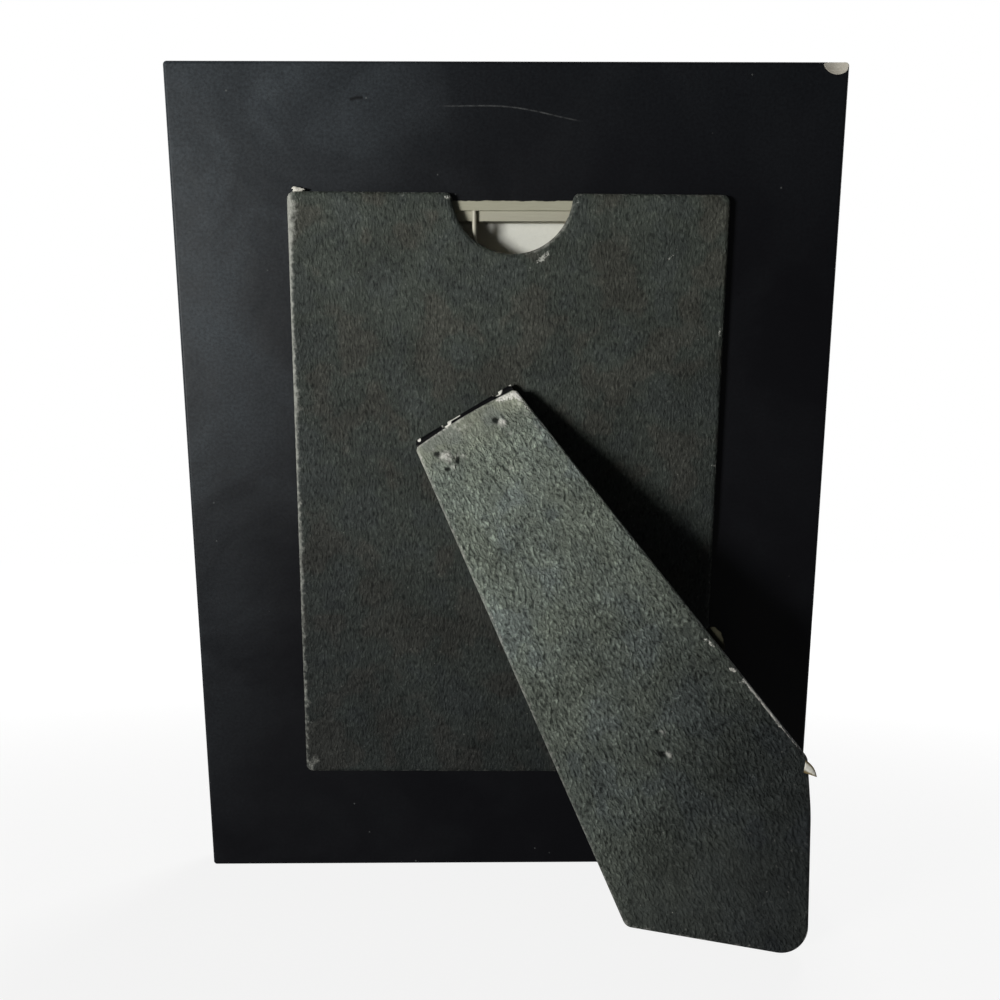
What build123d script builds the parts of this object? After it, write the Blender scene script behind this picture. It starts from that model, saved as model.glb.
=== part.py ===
from build123d import *
from math import copysign, cos, hypot, radians, sin
import os

# Easel back photo frame for one print, standing on its open leg, in millimetres.
# The pieces are drawn as seen from behind: x to the right, y up the frame, z out of its back,
# from the middle of the frame's rear bottom edge. At the end the whole frame is stood up and
# leaned back: +Z is up, the front faces -Y, and the origin is on the table under the middle.

# Print, glass and filler, all lying in the rebate
print_width = 101.6
print_height = 152.4
print_thick = 0.3
print_gap = 0.9
glass_gap = 0.5
glass_thick = 2.0
filler_thick = 3.2

# Mitred rails
rail_width = 41.3
rail_depth = 18.0
lip_overlap = 3.2
lip_depth = 3.5
edge_round = 1.0

# Chip knocked out of the back's top corner, over the left rail's end
chip_inward = 3.2
chip_above = 0.9
chip_width = 7.9
chip_depth = 1.0

# Corner nails, sunk in the mitres from behind
nail_leg = 6.0
nail_thick = 0.8
nail_depth = 8.0
nail_sink = 0.6
nail_shares = (0.3, 0.68)

# Stops: strips along the rebate walls that keep the filler down
stop_width = 2.6
stop_sink = 1.5

# Glazing brads: one laid over the top stop, the others through the stops into the rebate walls, to just short
# of the panel's side edges
brad_radius = 0.6
brad_short = 0.2
brad_proud = 8.0
brad_lift = 0.1
brad_offset = 8.7
brad_spread = 38.0

# Lift-out back panel: a wrapped board that laps the rebate all round, with a plug board that fills the mouth
# between the stops
panel_side_lap = 6.7
panel_end_lap = 5.0
panel_drop = 0.7
panel_twist = 0.4
panel_corner = 2.0
board_thick = 2.4
skin = 0.3
panel_round = 1.4
flange_gap = 0.3
plug_gap = 0.8
plug_thick = 3.6
plug_notch_gap = 1.0
notch_radius = 16.1
notch_rise = 0.5
notch_shift = 1.5
cusp_round = 1.5

# Hinge of the leg: two leaves and a pin, on a line tilted across the panel
hinge_across = 11.1
hinge_above = 23.1
hinge_tilt = 30.7
pin_radius = 1.0
pin_play = 0.05
pin_proud = 0.4
leaf_thick = 0.6
leaf_length = 14.5
leaf_inset = 0.8
knuckle_gap = 1.6
first_knuckle = 8.4
last_knuckle = 4.0
hinge_lift = 0.15

# Rivets of the hinge leaves
rivet_down = 7.7
rivet_across = 8.05
head_radius = 2.0
head_height = 0.5
shank_radius = 1.1
clinch_radius = 2.3
clinch_height = 0.5

# Leg outline, measured from its top edge, just below the pin, and its centre line: centres and radii of its
# corners, and how far its top and its foot bow out between them
leg_top_width = 31.6
leg_top_drop = 1.0
leg_top_round = 1.5
heel_down = 130.3
heel_across = 24.2
heel_round = 2.5
toe_across = 6.2
toe_round = 6.5
elbow_down = 116.4
elbow_across = 29.0
elbow_round = 3.0
top_swell = 0.6
top_place_share = 0.5
top_fullness_share = 0.85
foot_swell = 0.65
foot_place_share = 0.66
foot_fullness_share = 0.465
leg_thick = 2.4
leg_round = 1.1
lining_thick = 0.2
lining_inset = 1.5

# Stay ribbon between panel and leg, stapled at both ends
stay_down = 98.9
stay_across = 2.75
ribbon_width = 10.0
ribbon_thick = 0.3
ribbon_tab = 9.0
staple_spread = 5.4
staple_wire = 0.7
staple_turn = 1.6
staple_play = 0.05

# Stance
open_angle = 21.0
lean = 13.8

# Cuts run past the faces that they open by this much
overrun = 1.0

# Sizes that follow
frame_width = print_width + 2 * (rail_width - lip_overlap)
frame_height = print_height + 2 * (rail_width - lip_overlap)
sight_width = print_width - 2 * lip_overlap
sight_height = print_height - 2 * lip_overlap
rebate_width = print_width + 2 * print_gap
rebate_height = print_height + 2 * print_gap
rebate_floor = lip_depth - rail_depth
middle = frame_height / 2
glass_back = rebate_floor + glass_thick
print_back = glass_back + print_thick
filler_back = print_back + filler_thick
mouth_width = rebate_width - 2 * stop_width
mouth_height = rebate_height - 2 * stop_width
panel_width = rebate_width + 2 * panel_side_lap
panel_height = rebate_height + 2 * panel_end_lap
brad_bite = panel_side_lap - brad_short
panel_middle = middle - panel_drop
panel_top = panel_middle + panel_height / 2
hinge_up = panel_middle + hinge_above
board_back = flange_gap + board_thick
panel_back = board_back + skin
knuckle_radius = pin_radius + pin_play + leaf_thick
hinge_rise = knuckle_radius + hinge_lift
pin_level = panel_back + hinge_rise
leaf_width = leg_top_width - 2 * leaf_inset
plate_start = knuckle_radius + hinge_lift
leaf_face = hinge_rise - leaf_thick
panel_under = flange_gap - pin_level
leg_under = hinge_rise + lining_thick
leg_back = leg_under + leg_thick
stay_face = hinge_rise - ribbon_thick


def slab(sketch, start, end):
    """Solid of a flat sketch between two levels."""
    return extrude(Pos(0, 0, min(start, end)) * sketch, amount=abs(end - start))


def sheet_at_middle(width, height, start, end):
    """Rectangular sheet centred on the frame."""
    return slab(Pos(0, middle) * Rectangle(width, height), start, end)


def rod(radius, low, high):
    """Round rod along y, between two places."""
    return Pos(0, (low + high) / 2) * Rot(90, 0, 0) * Cylinder(radius, high - low)


def belt(circles):
    """Face inside a belt pulled round (x, y, radius) circles, listed anticlockwise."""
    normals = []
    for (x, y, radius), (next_x, next_y, next_radius) in zip(circles, circles[1:] + circles[:1]):
        along = Vector(next_x - x, next_y - y)
        pull = (radius - next_radius) / along.length
        along = along.normalized()
        out = Vector(along.Y, -along.X)
        normals.append(out * (1 - pull**2) ** 0.5 + along * pull)
    edges = []
    for index, (x, y, radius) in enumerate(circles):
        centre = Vector(x, y)
        arriving = normals[index - 1]
        leaving = normals[index]
        crown = (arriving + leaving).normalized()
        leave = centre + leaving * radius
        edges.append(ThreePointArc(centre + arriving * radius, centre + crown * radius, leave))
        next_x, next_y, next_radius = circles[(index + 1) % len(circles)]
        edges.append(Line(leave, Vector(next_x, next_y) + leaving * next_radius))
    return make_face(Curve() + edges)


# Frame: four mitred rails, their nails, and what lies in the rebate

def corner_chip():
    """Ball that cuts the chip, round the chip's width on the back and its depth."""
    ball = (chip_width**2 / 4 + chip_depth**2) / (2 * chip_depth)
    return Pos(frame_width / 2 - chip_inward, frame_height + chip_above, ball - chip_depth) * Sphere(ball)


def frame_blank():
    """All four rails in one piece, before the mitre cuts."""
    outer = sheet_at_middle(frame_width, frame_height, -rail_depth, 0)
    outer = fillet(outer.edges(), edge_round) - corner_chip()
    sight = sheet_at_middle(sight_width, sight_height, -rail_depth - overrun, overrun)
    rebate = sheet_at_middle(rebate_width, rebate_height, rebate_floor, overrun)
    return outer - sight - rebate


def mitre_wedge(turn):
    """Region of one rail, from the bottom one round anticlockwise as seen from behind."""
    reach = rail_width + overrun
    outer_x = frame_width / 2 + overrun
    outer_y = frame_height / 2 + overrun
    inner_x = frame_width / 2 - reach
    inner_y = frame_height / 2 - reach
    signs = [(-1, -1), (1, -1), (1, 1), (-1, 1)]
    start = signs[turn]
    end = signs[(turn + 1) % len(signs)]
    corners = [
        (start[0] * outer_x, start[1] * outer_y),
        (end[0] * outer_x, end[1] * outer_y),
        (end[0] * inner_x, end[1] * inner_y),
        (start[0] * inner_x, start[1] * inner_y),
    ]
    outline = make_face(Polyline(*corners, close=True))
    return slab(Pos(0, middle) * outline, -rail_depth - overrun, overrun)


def corner_nails():
    """Angle nails on each mitre, one leg in each rail."""
    nails = []
    for side in (-1, 1):
        for end in (-1, 1):
            for share in nail_shares:
                inward = rail_width * share
                x = side * (frame_width / 2 - inward)
                y = middle + end * (frame_height / 2 - inward)
                half = nail_thick / 2
                reach = (nail_leg - half) / 2
                across = Pos(x - side * reach, y) * Rectangle(nail_leg, nail_thick)
                along = Pos(x, y - end * reach) * Rectangle(nail_thick, nail_leg)
                nails.append(slab(across + along, -nail_sink - nail_depth, -nail_sink))
    return nails


def stop_strips():
    """One strip along each wall of the rebate, from the filler's back to just under the frame's back."""
    strips = []
    for side in (-1, 1):
        across = Pos(0, middle + side * (rebate_height - stop_width) / 2) * Rectangle(rebate_width, stop_width)
        along = Pos(side * (rebate_width - stop_width) / 2, middle) * Rectangle(stop_width, mouth_height)
        strips += [slab(across, filler_back, -stop_sink), slab(along, filler_back, -stop_sink)]
    return strips


def glazing_brads():
    """One brad over the top stop, one through the bottom stop, and two through each side stop."""
    over = brad_lift + brad_radius - stop_sink
    through = (filler_back - stop_sink) / 2
    half_width = rebate_width / 2
    half_height = rebate_height / 2
    laid = rod(brad_radius, half_height - brad_proud, half_height + brad_bite)
    pinned = rod(brad_radius, -half_height - brad_bite, stop_width - half_height)
    brads = [Pos(-brad_offset, middle, over) * laid, Pos(brad_offset, middle, through) * pinned]
    for side in (-1, 1):
        span = sorted((side * (half_width - stop_width), side * (half_width + brad_bite)))
        for end in (-1, 1):
            brad = Rot(0, 0, -90) * rod(brad_radius, *span)
            brads.append(Pos(0, middle + end * brad_spread, through) * brad)
    return brads


# Back panel

def panel_outline(grow):
    """Outline of the panel board, or of its wrap where it grows by the skin."""
    width = panel_width - 2 * skin + 2 * grow
    height = panel_height - 2 * skin + 2 * grow
    whole = RectangleRounded(width, height, panel_corner - skin + grow)
    outline = Pos(0, panel_middle) * Rot(0, 0, -panel_twist) * whole - notch_circle(grow)
    cusps = outline.vertices().sort_by_distance((notch_shift, panel_top + notch_rise))[:2]
    return fillet(cusps, cusp_round - skin + grow)


def notch_circle(grow):
    """Thumb notch in the panel's top edge."""
    return Pos(notch_shift, panel_top + notch_rise) * Circle(notch_radius + skin - grow)


def rounded_slab(outline, start, end, radius):
    """Slab with its outer face's edge rounded over."""
    solid = slab(outline, start, end)
    return fillet(solid.faces().sort_by(Axis.Z)[-1].edges(), radius)


def wrap(outline_of, start, end, radius):
    """Paper wrap over a board's outer face and edges, open underneath."""
    outer = rounded_slab(outline_of(skin), start, end + skin, radius)
    return outer - rounded_slab(outline_of(0), start - overrun, end, radius - skin)


def panel_plug():
    """Inner board that sits between the stops, with a slightly wider notch."""
    width = mouth_width - 2 * plug_gap
    height = mouth_height - 2 * plug_gap
    outline = Pos(0, middle) * Rot(0, 0, -panel_twist) * Rectangle(width, height) - notch_circle(-plug_notch_gap)
    return slab(outline, flange_gap - plug_thick, flange_gap)


# Hinge, rivets, staples and ribbon, drawn about the pin with the leg closed:
# x down the leg, y along the pin, z out of the panel

def hinge_leaf(spans):
    """Panel leaf with knuckles over the given spans of the pin; the leg's leaf is its mirror image."""
    start = -hinge_rise
    end = -leaf_face
    plate = Rectangle(leaf_length - plate_start, leaf_width)
    leaf = slab(Pos((plate_start + leaf_length) / 2, 0) * plate, start, end)
    for low, high in spans:
        tongue = Pos(leaf_length / 4, (low + high) / 2) * Rectangle(leaf_length / 2, high - low)
        leaf += slab(tongue, start, end)
        leaf += rod(knuckle_radius, low, high)
    return leaf - rod(pin_radius + pin_play, -leaf_width, leaf_width)


def rivet(face, end):
    """Rivet with its head on a leaf's free face and its clinch let into a board's far face."""
    out = copysign(1, face - end)
    head = slab(Circle(head_radius), face, face + out * head_height)
    clinch = slab(Circle(clinch_radius), end, end + out * clinch_height)
    return head + slab(Circle(shank_radius), end, face) + clinch


def rivet_pair(face, end):
    """Both rivets of one leaf."""
    return [Pos(rivet_down, side * rivet_across) * rivet(face, end) for side in (-1, 1)]


def staple(face, end, play):
    """Staple with its crown on the ribbon and its legs turned in at a board's far face."""
    out = copysign(1, face - end)
    wire = staple_wire + 2 * play
    crown = slab(Rectangle(staple_spread + wire, wire), face, face + out * staple_wire)
    for side in (-1, 1):
        foot = side * staple_spread / 2
        crown += slab(Pos(foot, 0) * Rectangle(wire, wire), end, face)
        turned = Pos(foot - side * staple_turn / 2, 0) * Rectangle(staple_turn + wire, wire)
        crown += slab(turned, end, end + out * staple_wire)
    return Pos(stay_down, stay_across) * crown


def stay_ribbon():
    """Ribbon with a tab on the panel, a tab under the open leg and a taut run between them."""
    tab = Pos(stay_down, stay_across) * Rectangle(ribbon_tab, ribbon_width)
    run_out = stay_down + ribbon_tab / 2
    level = stay_face + ribbon_thick / 2
    low = Vector(run_out, stay_across, -level)
    high = Plane(opened).from_local_coords(Vector(run_out, stay_across, level))
    run = high - low
    tilt = Vector(1, 0, 0).get_signed_angle(run, Vector(0, 1, 0))
    web = Location((low + high) / 2) * Rot(0, tilt, 0) * Box(run.length, ribbon_width, ribbon_thick)
    ribbon = slab(tab, -hinge_rise, -stay_face) + web + opened * slab(tab, stay_face, hinge_rise)
    ribbon -= staple(-stay_face, panel_under, staple_play)
    return ribbon - opened * staple(stay_face, leg_back, staple_play)


# Leg

def toe_down():
    """Distance of the toe's centre down the leg from the pin, where the open leg meets the table."""
    tilt = radians(hinge_tilt)
    swing = radians(open_angle)
    back = radians(lean)
    per_down = cos(swing) * cos(tilt) * cos(back) + sin(swing) * sin(back)
    per_across = sin(tilt) * cos(back)
    per_level = sin(swing) * cos(tilt) * cos(back) - cos(swing) * sin(back)
    edge_lift = edge_round * (cos(back) + sin(back) - 1)
    height = hinge_up * cos(back) - pin_level * sin(back) - edge_lift + toe_across * per_across
    level = leg_under if per_level > 0 else leg_back + skin
    height += level * per_level - (toe_round + skin) * hypot(per_down, per_across)
    return height / per_down


def swell(start, end, rise, place_share, fullness_share):
    """Large circle that bows the edge between two corner circles outwards by a rise; a full one spans the edge."""
    along = Vector(end[0] - start[0], end[1] - start[1])
    reach = along.length * min(place_share, 1 - place_share)
    pull = (start[2] - end[2]) / along.length
    along = along.normalized()
    out = Vector(along.Y, -along.X) * (1 - pull**2) ** 0.5 + along * pull
    x, y, radius = [near + (far - near) * place_share for near, far in zip(start, end)]
    bow = (reach**2 + rise**2) / (2 * rise) * fullness_share
    return (x + out.X * (rise - bow), y + out.Y * (rise - bow), radius + bow)


def leg_outline(grow):
    """Leg outline about the pin: a top edge, a heel, a toe that meets the table, and an elbow."""
    top = leg_top_drop + leg_top_round
    top_across = leg_top_width / 2 - leg_top_round
    left = (top, -top_across, leg_top_round - skin)
    right = (top, top_across, leg_top_round - skin)
    toe = (toe_down(), toe_across, toe_round)
    elbow = (leg_top_drop + elbow_down, elbow_across, elbow_round - skin)
    corners = [
        left,
        (leg_top_drop + heel_down, -heel_across, heel_round - skin),
        toe,
        swell(toe, elbow, foot_swell, foot_place_share, foot_fullness_share),
        elbow,
        right,
        swell(right, left, top_swell, top_place_share, top_fullness_share),
    ]
    return belt([(x, y, radius + grow) for x, y, radius in corners])


# Places: the hinge on the panel, the swing of the open leg, and the stance of the whole frame
tilt_line = radians(hinge_tilt)
hinge_plane = Plane(
    origin=(-hinge_across, hinge_up, pin_level),
    x_dir=(sin(tilt_line), -cos(tilt_line), 0),
    z_dir=(0, 0, 1),
)
on_panel = hinge_plane.location
opened = Rot(0, -open_angle, 0)
on_leg = on_panel * opened
stance = Rot(-lean, 0, 0) * Plane(origin=(0, 0, 0), x_dir=(-1, 0, 0), z_dir=(0, 1, 0)).location

# Frame pieces
nails = corner_nails()
brads = glazing_brads()
blank = frame_blank()
rails = [blank & mitre_wedge(turn) for turn in range(4)]
stops = stop_strips()
for fastener in nails + brads:
    rails = [rail - fastener for rail in rails]
for brad in brads:
    stops = [stop - brad for stop in stops]
rail_bottom, rail_left, rail_top, rail_right = rails
print_middle = Pos(0, -print_gap)
filler_board = print_middle * sheet_at_middle(print_width, print_height, print_back, filler_back)
photo_print = print_middle * sheet_at_middle(print_width, print_height, glass_back, print_back)
glass_width = rebate_width - 2 * glass_gap
glass_height = rebate_height - 2 * glass_gap
glass_pane = sheet_at_middle(glass_width, glass_height, rebate_floor, glass_back)

# Panel pieces
middle_knuckle = (first_knuckle + knuckle_gap - leaf_width / 2, leaf_width / 2 - last_knuckle - knuckle_gap)
panel_rivets = rivet_pair(-leaf_face, panel_under)
panel_staple = staple(-stay_face, panel_under, 0)
panel_leaf = hinge_leaf([middle_knuckle])
panel_board = rounded_slab(panel_outline(0), flange_gap, board_back, panel_round - skin)
panel_cover = wrap(panel_outline, flange_gap, board_back, panel_round)
for rivet_solid in panel_rivets:
    panel_leaf -= rivet_solid
for fastener in panel_rivets + [panel_staple]:
    panel_board -= on_panel * fastener
    panel_cover -= on_panel * fastener
hinge_pin = rod(pin_radius, -leaf_width / 2 - pin_proud, leaf_width / 2 + pin_proud)

# Leg pieces
outer_knuckles = [
    (-leaf_width / 2, first_knuckle - leaf_width / 2),
    (leaf_width / 2 - last_knuckle, leaf_width / 2),
]
leg_rivets = rivet_pair(leaf_face, leg_back)
leg_staple = staple(stay_face, leg_back, 0)
leg_leaf = mirror(hinge_leaf(outer_knuckles), Plane.XY)
leg_board = rounded_slab(leg_outline(0), leg_under, leg_back, leg_round - skin)
leg_cover = wrap(leg_outline, leg_under, leg_back, leg_round)
leg_lining = slab(offset(leg_outline(0), -lining_inset), hinge_rise, leg_under)
for rivet_solid in leg_rivets:
    leg_leaf -= rivet_solid
for fastener in leg_rivets + [leg_staple]:
    leg_board -= fastener
    leg_lining -= fastener

pieces = {
    "rail_top": rail_top,
    "rail_bottom": rail_bottom,
    "rail_left": rail_left,
    "rail_right": rail_right,
    "corner_nails": Compound(nails),
    "glass_pane": glass_pane,
    "photo_print": photo_print,
    "filler_board": filler_board,
    "stop_strips": Compound(stops),
    "glazing_brads": Compound(brads),
    "panel_board": panel_board,
    "panel_plug": panel_plug(),
    "panel_cover": panel_cover,
    "hinge_panel_leaf": on_panel * panel_leaf,
    "hinge_pin": on_panel * hinge_pin,
    "panel_rivets": on_panel * Compound(panel_rivets),
    "panel_staple": on_panel * panel_staple,
    "stay_ribbon": on_panel * stay_ribbon(),
    "leg_board": on_leg * leg_board,
    "leg_cover": on_leg * leg_cover,
    "leg_lining": on_leg * leg_lining,
    "hinge_leg_leaf": on_leg * leg_leaf,
    "leg_rivets": on_leg * Compound(leg_rivets),
    "leg_staple": on_leg * leg_staple,
}

# Stand the frame up, lean it back and put the origin under its middle
standing = {name: stance * piece for name, piece in pieces.items()}
box = Compound(list(standing.values())).bounding_box()
centred = Pos(0, -(box.min.Y + box.max.Y) / 2, -box.min.Z)
place = Plane(centred * stance)

os.makedirs("parts", exist_ok=True)
for name, piece in standing.items():
    export_step(centred * piece, f"parts/{name}.step")

print("size", box.size, "lowest", box.min.Z)
print("hinge point", place.from_local_coords(hinge_plane.origin))
print("hinge axis, closing", place.from_local_coords(hinge_plane.y_dir) - place.origin)
print("panel pull axis", place.z_dir)
print("middle of the rear bottom edge", place.origin)
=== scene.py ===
# %% [markdown]
# # An easel back photo frame, seen from behind
#
# The imported part is the fixed frame. Its solids already sit where the real pieces sit,
# so the work here is surface work: paper, lacquer, steel and card, and the thin wrapped papers that a
# solid can't show. The box of the bare part is kept, to compare with the dressed one at the end.

# %% Load the imported part
import bpy
import numpy as np
from mathutils import Matrix, Vector


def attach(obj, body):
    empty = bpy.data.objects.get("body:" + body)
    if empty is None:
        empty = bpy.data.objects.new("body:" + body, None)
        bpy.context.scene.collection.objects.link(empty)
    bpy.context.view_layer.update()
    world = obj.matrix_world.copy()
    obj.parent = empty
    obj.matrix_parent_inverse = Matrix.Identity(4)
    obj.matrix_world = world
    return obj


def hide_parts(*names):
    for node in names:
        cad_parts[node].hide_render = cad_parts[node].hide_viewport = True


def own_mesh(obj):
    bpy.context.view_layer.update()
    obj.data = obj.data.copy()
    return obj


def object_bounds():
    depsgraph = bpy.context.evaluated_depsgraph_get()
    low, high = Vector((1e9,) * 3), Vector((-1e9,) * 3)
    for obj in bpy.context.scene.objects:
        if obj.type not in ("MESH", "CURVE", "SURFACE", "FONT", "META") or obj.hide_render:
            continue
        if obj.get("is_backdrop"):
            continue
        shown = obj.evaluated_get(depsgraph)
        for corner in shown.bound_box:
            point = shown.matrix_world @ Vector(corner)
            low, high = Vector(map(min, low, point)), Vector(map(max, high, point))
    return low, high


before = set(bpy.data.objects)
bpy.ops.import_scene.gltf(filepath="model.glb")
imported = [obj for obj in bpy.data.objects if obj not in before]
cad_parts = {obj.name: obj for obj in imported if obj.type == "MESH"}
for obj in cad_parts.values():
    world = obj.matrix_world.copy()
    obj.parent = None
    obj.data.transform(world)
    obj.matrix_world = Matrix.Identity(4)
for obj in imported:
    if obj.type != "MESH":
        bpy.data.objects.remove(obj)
cad_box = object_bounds()
scene = bpy.context.scene
scene.view_settings.view_transform = "Standard"
print("pieces in the packed part:", len(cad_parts))

# %% [markdown]
# ## Two drawing boards
#
# A frame maker measures from behind: so far to the right, so far up, so far out of the back. The frame
# leans back and the leg swings out on a tilted pin, so each measure is turned into the standing frame by
# short functions. Working this way keeps every number a plain length in millimetres. The same two turns
# are kept as tables of directions, because the finishes need them the other way round.

# %% Places on the back and on the leg
MM = 1000
LEAN, TILT, SWING = np.radians([13.8, 30.7, 21.0])
FOOT = np.array([0.0, -24.8239, -0.209668])
PIN = np.array([-11.1, 136.7, 4.8])
TOP = 1.5
BACK = np.array([
    [-1.0, 0.0, 0.0],
    [0.0, np.sin(LEAN), np.cos(LEAN)],
    [0.0, np.cos(LEAN), -np.sin(LEAN)],
])
HINGE = np.array([
    [np.sin(TILT), -np.cos(TILT), 0.0],
    [np.cos(TILT), np.sin(TILT), 0.0],
    [0.0, 0.0, 1.0],
])


def behind(right, up, out):
    """Point drawn from behind, in mm, as metres in the standing frame.

    x is minus right, and up and out turn by the lean.
    """
    right, up, out = np.broadcast_arrays(right, up, out)
    y = up * np.sin(LEAN) + out * np.cos(LEAN)
    z = up * np.cos(LEAN) - out * np.sin(LEAN)
    return (np.stack([-right, y, z], -1) + FOOT) / MM


def on_panel(down, across, out):
    """Point drawn about the pin on the panel's side: down and across turn by the pin's tilt."""
    right = PIN[0] + down * np.sin(TILT) + across * np.cos(TILT)
    up = PIN[1] - down * np.cos(TILT) + across * np.sin(TILT)
    return behind(right, up, PIN[2] + out)


def on_leg(down, across, out):
    """Point drawn on the leg, from just below its pin: down and out turn by the swing first."""
    reach = (down + TOP) * np.cos(SWING) - out * np.sin(SWING)
    lift = (down + TOP) * np.sin(SWING) + out * np.cos(SWING)
    return on_panel(reach, across, lift)


print("pin at", behind(*PIN), "toe near", on_leg(146.2, 6.2, 2.0))

# %% [markdown]
# ## The camera
#
# The picture was taken from close up, a little above the table, looking slightly upwards at the back.
# The place and the lens come from fitting the corners of the frame and of the leg to where they are seen,
# so the camera is given by its three directions and its place, with no shift.

# %% Make the camera
camera = bpy.data.objects.new("camera", bpy.data.cameras.new("camera"))
scene.collection.objects.link(camera)
camera.matrix_world = Matrix((
    (-0.99996, -0.00170, 0.00909, 0.00431),
    (0.00900, 0.04292, 0.99900, 0.27282),
    (-0.00209, 0.99904, -0.04290, 0.09790),
    (0.0, 0.0, 0.0, 1.0),
))
camera.data.sensor_width = 36.0
camera.data.lens = 34.6415
camera.data.clip_start = 0.01
scene.camera = camera
print("camera at", camera.matrix_world.translation)

# %% [markdown]
# ## Wiring a material
#
# Every finish below is a small network of nodes. A few helpers keep the cells short: one adds a node and
# feeds it, the others wrap the nodes that come back again and again, which are sums, soft steps, blends of
# two colours and cloudy noise.

# %% Helpers for nodes
def wire(tree, kind, feeds=None, **settings):
    """Adds a node, sets its options, and feeds each input a number, a colour or another node's plug."""
    made = tree.nodes.new("ShaderNode" + kind)
    for option, value in settings.items():
        setattr(made, option, value)
    for plug, value in (feeds or {}).items():
        if isinstance(value, bpy.types.NodeSocket):
            tree.links.new(value, made.inputs[plug])
        else:
            made.inputs[plug].default_value = value
    return made


def sums(tree, operation, first, second=0.0):
    """One sum of two numbers."""
    return wire(tree, "Math", {0: first, 1: second}, operation=operation).outputs[0]


def times(tree, first, *factors):
    """Product of two or more numbers."""
    for factor in factors:
        first = sums(tree, "MULTIPLY", first, factor)
    return first


def plus(tree, value, weight, base):
    """Base plus value times weight."""
    return sums(tree, "ADD", base, times(tree, value, weight))


def about_zero(tree, noise, weight):
    """Noise moved down by a half, so that it swings about zero, times weight."""
    return times(tree, sums(tree, "SUBTRACT", noise, 0.5), weight)


def vectors(tree, operation, first, second=(0.0, 0.0, 0.0)):
    """One sum of two vectors: gives a vector, or a number for a length, distance or dot product."""
    made = wire(tree, "VectorMath", {0: first, 1: second}, operation=operation)
    is_number = operation in ("LENGTH", "DISTANCE", "DOT_PRODUCT")
    return made.outputs["Value" if is_number else "Vector"]


def step(tree, value, low, high, start=0.0, end=1.0):
    """Soft step: start below low, end above high, and an S-shaped ramp between."""
    feeds = {"Value": value, "From Min": low, "From Max": high, "To Min": start, "To Max": end}
    return wire(tree, "MapRange", feeds, interpolation_type="SMOOTHSTEP").outputs[0]


def blend(tree, share, first, second):
    """Blend of two colours by a share."""
    return wire(tree, "Mix", {0: share, 6: first, 7: second}, data_type="RGBA").outputs[2]


def tinge(tree, share, colour, tint):
    """Colour multiplied by a tint, by a share."""
    feeds = {0: share, 6: colour, 7: tint}
    return wire(tree, "Mix", feeds, data_type="RGBA", blend_type="MULTIPLY").outputs[2]


def clouds(tree, place, size, detail=3.0, rough=0.5, twist=0.0):
    """Cloudy noise whose blots are about size across, in the units of place."""
    pattern = {"Scale": 1.0 / size, "Detail": detail, "Roughness": rough, "Distortion": twist}
    return wire(tree, "TexNoise", {"Vector": place, **pattern}).outputs[0]


def stretch(tree, place, scale, turn=(0.0, 0.0, 0.0), shift=(0.0, 0.0, 0.0)):
    """Place scaled, turned and moved."""
    feeds = {"Vector": place, "Scale": scale, "Rotation": turn, "Location": shift}
    return wire(tree, "Mapping", feeds).outputs[0]


def in_mm(tree, turn=np.eye(3), shift=(0.0, 0.0, 0.0)):
    """Object coordinates in mm, turned and moved to a drawing board."""
    place = wire(tree, "TexCoord").outputs["Object"]
    return stretch(tree, place, (MM, MM, MM), Matrix(turn).to_euler(), shift)


print("node helpers ready")

# %% [markdown]
# A finish starts from a Principled shader, and its networks are plugged in at the end. A shared effect is a
# node group, with named plugs on both sides, that each finish uses with values of its own.

# %% Helpers for finishes and effects
def finish(name, **sockets):
    """New material with a Principled shader whose constant values are set on its own sockets."""
    made = bpy.data.materials.new(name)
    made.use_nodes = True
    shader = made.node_tree.nodes["Principled BSDF"]
    for socket, value in sockets.items():
        shader.inputs[socket.replace("_", " ")].default_value = value
    return made, made.node_tree, shader


def coat(tree, shader, height=None, depth=0.0001, **feeds):
    """Feeds the shader's sockets, and its normal from a height in steps of depth metres."""
    for socket, value in feeds.items():
        tree.links.new(value, shader.inputs[socket.replace("_", " ")])
    if height is not None:
        bump = wire(tree, "Bump", {"Height": height, "Distance": depth, "Strength": 1.0})
        tree.links.new(bump.outputs[0], shader.inputs["Normal"])


def effect(name, takes, gives):
    """Empty node group with named plugs: a kind is Float, Vector or Color."""
    tree = bpy.data.node_groups.new(name, "ShaderNodeTree")
    for side, plugs in (("INPUT", takes), ("OUTPUT", gives)):
        for plug, kind in plugs.items():
            tree.interface.new_socket(plug, in_out=side, socket_type="NodeSocket" + kind)
    return tree, tree.nodes.new("NodeGroupInput").outputs, tree.nodes.new("NodeGroupOutput").inputs


def use(tree, group, **feeds):
    """Places an effect in a material with its own values, and gives its outputs."""
    return wire(tree, "Group", feeds, node_tree=group).outputs


print("finish helpers ready")

# %% [markdown]
# ## Floor and background
#
# The frame stands on a plain pale floor against white. A lit floor alone would fall off to grey with
# distance, so it glows for the camera, more so further out, and the frame's own shadow still shows near
# it. The room behind the camera stays dim, as black lacquer shows whatever it faces.

# %% Floor and world
FLOOR_REACH = 4.0
GLOW_NEAR, GLOW_FAR, GLOW_LEAST = 0.10, 0.60, 0.87
FLOOR_MIRRORED = 0.2
ROOM_GLOW = 0.020


def seen_share(tree, mirrored_share):
    """1 where the camera looks straight at it, and a share of that in a reflection or through glass."""
    path = wire(tree, "LightPath").outputs
    mirrored = sums(tree, "ADD", path["Is Glossy Ray"], path["Is Transmission Ray"])
    return plus(tree, mirrored, mirrored_share, path["Is Camera Ray"])


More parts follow.
